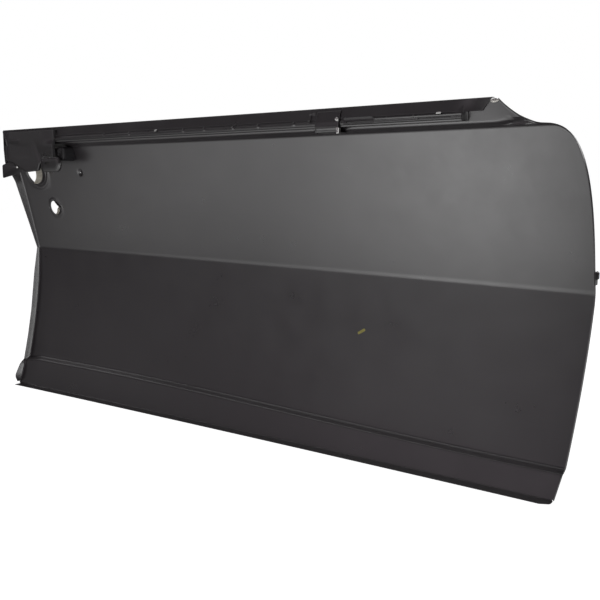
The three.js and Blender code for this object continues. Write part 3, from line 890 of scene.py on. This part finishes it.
def corner_weld_bead(material):
    """A ragged lump of braze on the front peak, beside the end of the belt plate."""
    lump = bmesh.new()
    bmesh.ops.create_icosphere(lump, subdivisions=4, radius=1)
    for v in lump.verts:
        x, y, z = v.co
        lumps = sin(7 * x + 3 * z + 1) * sin(6 * z - 2 * x)
        rough = 1 + 0.16 * lumps + 0.07 * sin(19 * x + 11 * y + 13 * z)
        wedge = 1 - 0.35 * max(x, 0)
        v.co = (7.2 * x * rough, 1.6 * y * rough, 3.2 * z * rough * wedge)
    mesh = bpy.data.meshes.new("braze_bead")
    lump.to_mesh(mesh)
    lump.free()
    points = [np.array(v.co) + (PLATE_END + 4, BELT_HEAD[0] - 0.9, 633.6) for v in mesh.vertices]
    piece = new_object("braze_bead", points, [tuple(p.vertices) for p in mesh.polygons], 60)
    finish_piece(piece, material, "braze", "corner_weld_bead")


def inspection_mark(material):
    """One short stroke of a paint pen, left by an inspector on the inner face of the lower panel."""
    x0, z0, length, width, tilt = 987.5, 236.5, 17.5, 5.2, radians(31)
    rows = []
    for across in np.linspace(-0.5, 0.5, 7):
        row = []
        for along in np.linspace(-0.5, 0.5, 15):
            ragged = 1 + 0.05 * sin(9 * across + 2) + 0.03 * sin(31 * across)
            reach = along * length * ragged
            side = across * width * (1 - 0.25 * abs(2 * along) ** 6)
            x = x0 + reach * cos(tilt) - side * sin(tilt)
            s = z0 + reach * sin(tilt) + side * cos(tilt)
            thick = 0.10 + 0.12 * (1 - abs(2 * along) ** 8) * (1 - abs(2 * across) ** 6)
            row.append((x, s, thick))
        rows.append(form(row))
    piece = thicken(lattice("inspection_mark", rows, 60), 0.08)
    finish_piece(piece, material, "panel_coat")


# ---- materials
def material_tree(name):
    """A new material with its node tree, its shader and its object coordinates."""
    material = bpy.data.materials.new(name)
    material.use_nodes = True
    tree = material.node_tree
    place = add(tree, "ShaderNodeTexCoord")
    return material, tree, tree.nodes["Principled BSDF"], place


def add(tree, kind, inputs=None, **settings):
    node = tree.nodes.new(kind)
    for key, value in settings.items():
        setattr(node, key, value)
    for key, value in (inputs or {}).items():
        node.inputs[key].default_value = value
    return node


def noise(tree, place, scale, detail=4.0, roughness=0.55, stretch=None):
    """Noise in object space, in cycles per metre, stretched along the axes when asked."""
    node = add(tree, "ShaderNodeTexNoise", {"Scale": scale, "Detail": detail, "Roughness": roughness})
    vector = place.outputs["Object"]
    if stretch:
        squeeze = add(tree, "ShaderNodeMapping", {"Scale": stretch})
        tree.links.new(vector, squeeze.inputs["Vector"])
        vector = squeeze.outputs["Vector"]
    tree.links.new(vector, node.inputs["Vector"])
    return node.outputs["Fac"]


def spread(tree, value, low, high, to_low, to_high):
    """A value of low to high, spread to values of to_low to to_high."""
    limits = {"From Min": low, "From Max": high, "To Min": to_low, "To Max": to_high}
    node = add(tree, "ShaderNodeMapRange", limits)
    tree.links.new(value, node.inputs["Value"])
    return node.outputs["Result"]


def blended(tree, factor, first, second):
    """A colour between two; each is a colour or another node's output."""
    node = add(tree, "ShaderNodeMix", data_type="RGBA")
    tree.links.new(factor, node.inputs["Factor"])
    for socket, colour in (("A", first), ("B", second)):
        if isinstance(colour, tuple):
            node.inputs[socket].default_value = (*colour, 1)
        else:
            tree.links.new(colour, node.inputs[socket])
    return node.outputs["Result"]


def patchy(tree, place, scale, first, second, low=0.35, high=0.7, most=1):
    """A colour that changes in patches from the first to the second."""
    return blended(tree, spread(tree, noise(tree, place, scale), low, high, 0, most), first, second)


def uneven_roughness(tree, place, shader, scale, roughness, *texture):
    fine = noise(tree, place, scale, *texture)
    tree.links.new(spread(tree, fine, 0.3, 0.7, *roughness), shader.inputs["Roughness"])


def grain(tree, place, shader, strength, scale, detail=3.0, depth=0.0002):
    """Fine bumps all over the surface, this many to the metre."""
    bump = add(tree, "ShaderNodeBump", {"Strength": strength, "Distance": depth})
    tree.links.new(noise(tree, place, scale, detail), bump.inputs["Height"])
    tree.links.new(bump.outputs["Normal"], shader.inputs["Normal"])


# Paler tone painted on what faces up: dust, and painted light from above.
DUST_AND_TOP_LIGHT = (0.09, 0.085, 0.088)
WORN_EDGE = (0.06, 0.058, 0.06)


def coated(name, dark, pale, roughness, ior, peel=0.12):
    """Black electro-coat on steel: satin, slightly mottled, rubbed along its edges, with fine orange peel,
    and painted paler where it faces up, for dust and for light from above.
    """
    material, tree, shader, place = material_tree(name)
    mottled = patchy(tree, place, 6, dark, pale, high=0.65)
    streaks = spread(tree, noise(tree, place, 9, 3.0, 0.5, (0.5, 1, 9)), 0.56, 0.80, 0, 0.30)
    mottled = blended(tree, streaks, mottled, tuple(1.25 * c for c in pale))
    surface = add(tree, "ShaderNodeNewGeometry")
    crisp = spread(tree, surface.outputs["Pointiness"], 0.53, 0.60, 0, 0.55)
    # Dust, and painted light from above, lie on what faces up: there the coat is painted paler.
    upwards = add(tree, "ShaderNodeSeparateXYZ")
    tree.links.new(surface.outputs["Normal"], upwards.inputs["Vector"])
    dusty = spread(tree, upwards.outputs["Z"], 0.70, 0.90, 0, 0.75)
    worn = blended(tree, crisp, mottled, WORN_EDGE)
    tree.links.new(blended(tree, dusty, worn, DUST_AND_TOP_LIGHT), shader.inputs["Base Color"])
    shader.inputs["IOR"].default_value = ior
    uneven_roughness(tree, place, shader, 16, roughness, 6.0, 0.65)
    grain(tree, place, shader, peel, 700, 2.0)
    return material


def plated(name, colour, dull, roughness, grain_scale=1400.0):
    """Bright plating or bare metal: mottled tone and roughness, with a fine grain."""
    material, tree, shader, place = material_tree(name)
    shader.inputs["Metallic"].default_value = 1.0
    tree.links.new(patchy(tree, place, 260, colour, dull), shader.inputs["Base Color"])
    uneven_roughness(tree, place, shader, 420, roughness)
    grain(tree, place, shader, 0.25, grain_scale)
    return material


def rubber():
    """Black moulded rubber with a little dust."""
    material, tree, shader, place = material_tree("moulded_rubber")
    dusty = patchy(tree, place, 60, (0.010, 0.009, 0.011), (0.022, 0.021, 0.022), 0.45, 0.75, 0.6)
    tree.links.new(dusty, shader.inputs["Base Color"])
    uneven_roughness(tree, place, shader, 90, (0.42, 0.6))
    grain(tree, place, shader, 0.3, 900, depth=0.0003)
    return material


def pale_rim_material():
    """A pale beige sheet, matt and uneven."""
    material, tree, shader, place = material_tree("pale_rim_material")
    pale_tone = patchy(tree, place, 180, (0.56, 0.53, 0.46), (0.40, 0.37, 0.31))
    tree.links.new(pale_tone, shader.inputs["Base Color"])
    uneven_roughness(tree, place, shader, 300, (0.5, 0.7))
    grain(tree, place, shader, 0.3, 1100)
    return material


def pen_paint():
    """Dried yellowish paint."""
    material, tree, shader, place = material_tree("pen_paint")
    yellow = patchy(tree, place, 420, (0.42, 0.38, 0.10), (0.24, 0.21, 0.07))
    tree.links.new(yellow, shader.inputs["Base Color"])
    shader.inputs["Roughness"].default_value = 0.7
    grain(tree, place, shader, 0.3, 1200)
    return material


# ---- studio
WHITE = (1, 1, 1, 1)
# The floor's glow, for every ray but the camera's: FAN runs across it from left to right, and NEAR away from
# the door. Their product is its brightness. Stops are (metres, brightness).
FAN = {"along": (1, -0.4, 0), "from": -2.8,
       "stops": [(0.0, 0.03), (0.9, 0.08), (1.3, 0.30), (1.6, 0.74), (1.9, 0.98), (2.5, 1.10), (2.95, 2.0),
                 (3.2, 2.7), (3.35, 2.6), (3.6, 0.9), (3.85, 0.3), (4.6, 0.3)]}
NEAR = {"along": (0, -1, 0), "from": 0.0,
        "stops": [(0.0, 0.20), (0.32, 0.30), (0.58, 0.65), (0.95, 1.0), (2.2, 1.15), (2.7, 1.1), (3.05, 0.15),
                  (5.0, 0.04)]}
# The room's glow, for every ray but the camera's, in stops of (cosine of the angle from GLOW, brightness).
GLOW = (-0.310, -0.852, 0.423)
ROOM = [(0.0, 0.05), (0.40, 0.11), (0.60, 0.11), (0.72, 0.06), (0.80, 0.07), (0.87, 0.12), (0.93, 0.16),
        (0.97, 0.30), (1.0, 0.60)]
ROOM_TINT = (1.06, 0.95, 1.03)
# Each lamp: where it is, what it faces, its size in metres and its power in watts.
LAMPS = {
    "ceiling": ((-2.0, -0.36, 2.4), (-2.0, -0.36, 0), (4.2, 0.4), 7),
    "left": ((-2.7, -1.9, 0.9), (-0.4, 0.0, 0.3), (1.4, 0.9), 0.7),
    "behind": ((0.6, 3.0, 1.7), (0.0, 0.0, 0.3), (2.6, 1.4), 16),
    "side": ((3.2, -0.9, 0.55), (-0.7, 0.0, 0.35), (2.0, 1.4), 28),
}
FLOOR_REACH = 14


def ramp(tree, stops, reach):
    """A ramp node of greys from (place, value) stops, for places from 0 to reach, and its peak value."""
    peak = max(value for _, value in stops)
    node = add(tree, "ShaderNodeValToRGB")
    node.color_ramp.interpolation = "EASE"
    elements = node.color_ramp.elements
    while len(elements) < len(stops):
        elements.new(0.5)
    for element, (at, value) in zip(elements, stops):
        element.position = at / reach
        element.color = (value / peak,) * 3 + (1,)
    return node, peak


def light(name, at, towards, size, energy):
    data = bpy.data.lights.new(name, "AREA")
    data.shape = "RECTANGLE"
    data.size, data.size_y = size
    data.energy = energy
    lamp = placed(name, data)
    lamp.location = at
    lamp.rotation_euler = (Vector(towards) - Vector(at)).to_track_quat("-Z", "Y").to_euler()
    lamp.visible_camera = False


def camera():
    data = bpy.data.cameras.new("camera")
    data.lens = LENS
    data.sensor_width = 36.0
    view = placed("camera", data)
    view.location = CAMERA_AT
    view.rotation_euler = (radians(90 - CAMERA_PITCH), 0, radians(CAMERA_AZIMUTH))
    bpy.context.scene.camera = view


def world():
    """White to the camera; to every other ray a dim room, brightest towards GLOW."""
    room = bpy.data.worlds.new("studio")
    bpy.context.scene.world = room
    room.use_nodes = True
    tree = room.node_tree
    sky = tree.nodes["Background"]
    coords = add(tree, "ShaderNodeTexCoord")
    towards = add(tree, "ShaderNodeVectorMath", {1: GLOW}, operation="DOT_PRODUCT")
    tree.links.new(coords.outputs["Generated"], towards.inputs[0])
    levels, peak = ramp(tree, ROOM, 1)
    tree.links.new(towards.outputs["Value"], levels.inputs["Fac"])
    rays = add(tree, "ShaderNodeLightPath")
    shown = add(tree, "ShaderNodeMix", {"B": WHITE}, data_type="RGBA")
    tree.links.new(rays.outputs["Is Camera Ray"], shown.inputs["Factor"])
    scaled = add(tree, "ShaderNodeVectorMath", {1: tuple(peak * c for c in ROOM_TINT)}, operation="MULTIPLY")
    tree.links.new(levels.outputs["Color"], scaled.inputs[0])
    tree.links.new(scaled.outputs["Vector"], shown.inputs["A"])
    tree.links.new(shown.outputs["Result"], sky.inputs["Color"])


def pool_light(tree, coords):
    """The floor's glow, as a shader's output."""
    both = add(tree, "ShaderNodeVectorMath", operation="MULTIPLY")
    strength = 1
    for socket, span in enumerate((FAN, NEAR)):
        along = add(tree, "ShaderNodeVectorMath", {1: span["along"]}, operation="DOT_PRODUCT")
        tree.links.new(coords.outputs["Object"], along.inputs[0])
        reach = span["stops"][-1][0]
        share = spread(tree, along.outputs["Value"], span["from"], span["from"] + reach, 0, 1)
        levels, peak = ramp(tree, span["stops"], reach)
        tree.links.new(share, levels.inputs["Fac"])
        tree.links.new(levels.outputs["Color"], both.inputs[socket])
        strength *= peak
    pool = add(tree, "ShaderNodeEmission", {"Strength": strength})
    tree.links.new(both.outputs["Vector"], pool.inputs["Color"])
    return pool.outputs["Emission"]


def floor():
    """A plain white floor to the camera; to every other ray it glows, brightest in front of the door."""
    mesh = bpy.data.meshes.new("floor")
    corners = [(x * FLOOR_REACH, y * FLOOR_REACH, 0) for x, y in ((-1, -1), (1, -1), (1, 1), (-1, 1))]
    mesh.from_pydata(corners, [], [(0, 1, 2, 3)])
    ground = placed("floor", mesh)
    paint, tree, shader, coords = material_tree("floor_paint")
    shader.inputs["Base Color"].default_value = (0.85, 0.85, 0.86, 1)
    shader.inputs["Roughness"].default_value = 0.9
    shader.inputs["Emission Color"].default_value = WHITE
    shader.inputs["Emission Strength"].default_value = 0.93
    rays = add(tree, "ShaderNodeLightPath")
    shown = add(tree, "ShaderNodeMixShader")
    tree.links.new(rays.outputs["Is Camera Ray"], shown.inputs["Fac"])
    tree.links.new(pool_light(tree, coords), shown.inputs[1])
    tree.links.new(shader.outputs["BSDF"], shown.inputs[2])
    tree.links.new(shown.outputs["Shader"], tree.nodes["Material Output"].inputs["Surface"])
    ground.data.materials.append(paint)


def studio():
    camera()
    world()
    floor()
    bpy.context.scene.view_settings.view_transform = "Standard"
    for name, (at, towards, size, energy) in LAMPS.items():
        light(name, at, towards, size, energy)


# ---- the whole
studio()
panel_coat = coated("panel_coat", (0.0205, 0.0175, 0.0200), (0.0260, 0.0225, 0.0250), (0.27, 0.34), 1.9)
bracket_coat = coated("bracket_coat", (0.0125, 0.011, 0.012), (0.019, 0.017, 0.0185), (0.26, 0.36), 1.85, 0.2)
zinc = plated("zinc", (0.86, 0.86, 0.84), (0.62, 0.62, 0.60), (0.22, 0.38))
braze = plated("braze", (0.72, 0.70, 0.66), (0.40, 0.39, 0.37), (0.35, 0.6), 900.0)
moulding = rubber()

door_skin(panel_coat)
pale_rim = pale_rim_material()
hole_lip("handle_hole_lip", HANDLE_HOLE, 19, -95, 80, pale_rim)
hole_lip("lock_hole_lip", LOCK_HOLE, 8, -100, 15, pale_rim)
belt_plate(bracket_coat)
belt_channel(bracket_coat)
belt_guide_strip(bracket_coat)
handle_reinforcement(bracket_coat)
rod_guide_cup(bracket_coat)
latch_side_arm(bracket_coat)
arm_rivet(zinc)
window_stop_buffer(moulding)
glass_guide_bracket(bracket_coat)
glass_guide_bolt(zinc)
glass_guide_clip(zinc)
seal_clip("rear", zinc, "zinc", x=536, width=5, low=614.8, high=618.8)
seal_clip("middle", bracket_coat, "bracket_coat", x=926, width=5, low=616.5, high=630)
seal_clip("front", zinc, "zinc", x=1183, width=8, low=616.8, high=620.3)
front_locating_tab(bracket_coat)
corner_weld_bead(braze)
inspection_mark(pen_paint())
